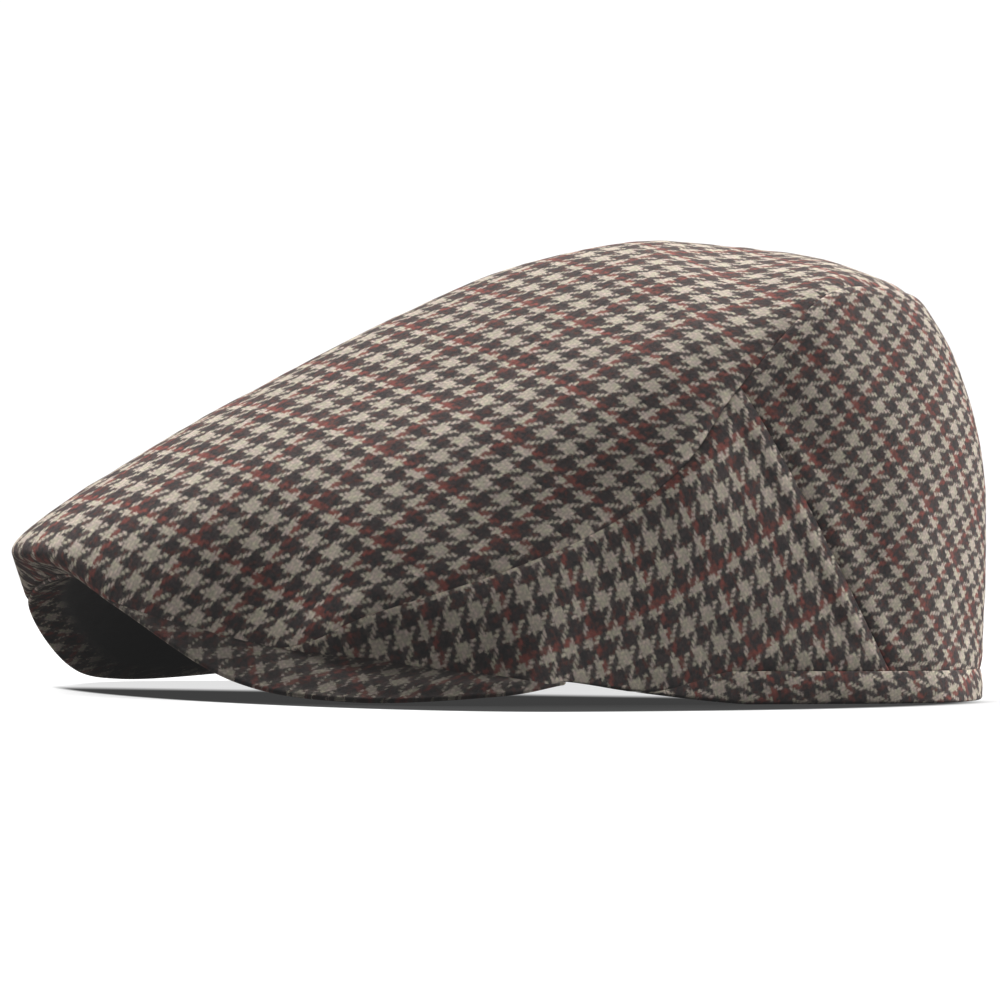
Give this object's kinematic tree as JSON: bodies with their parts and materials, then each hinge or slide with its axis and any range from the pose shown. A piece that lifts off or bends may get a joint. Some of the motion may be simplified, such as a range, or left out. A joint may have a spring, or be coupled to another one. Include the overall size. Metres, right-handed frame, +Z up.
{
  "type": "flat cap",
  "caption": "Flat cap of checked wool cloth: a full top panel drawn down over a stiff bent peak, with side panels, a rounded back panel and a narrow hem band.",
  "frame": {"origin": "middle of the cap's box, on the surface that its rim rests on", "axes": "+Z up, +Y from the peak to the back, +X towards the wearer's left"},
  "size_m": [0.1836, 0.2772, 0.1266],
  "materials": {
    "cloth": "brushed wool twill in a cream, charcoal and red-brown check",
    "peak_cloth": "the same checked wool, stretched over the peak on the bias"
  },
  "bodies": {
    "root": {"top_panel": "cloth", "side_panel_left": "cloth", "side_panel_right": "cloth", "back_panel": "cloth", "peak": "peak_cloth", "back_band": "cloth"}
  },
  "joints": []
}
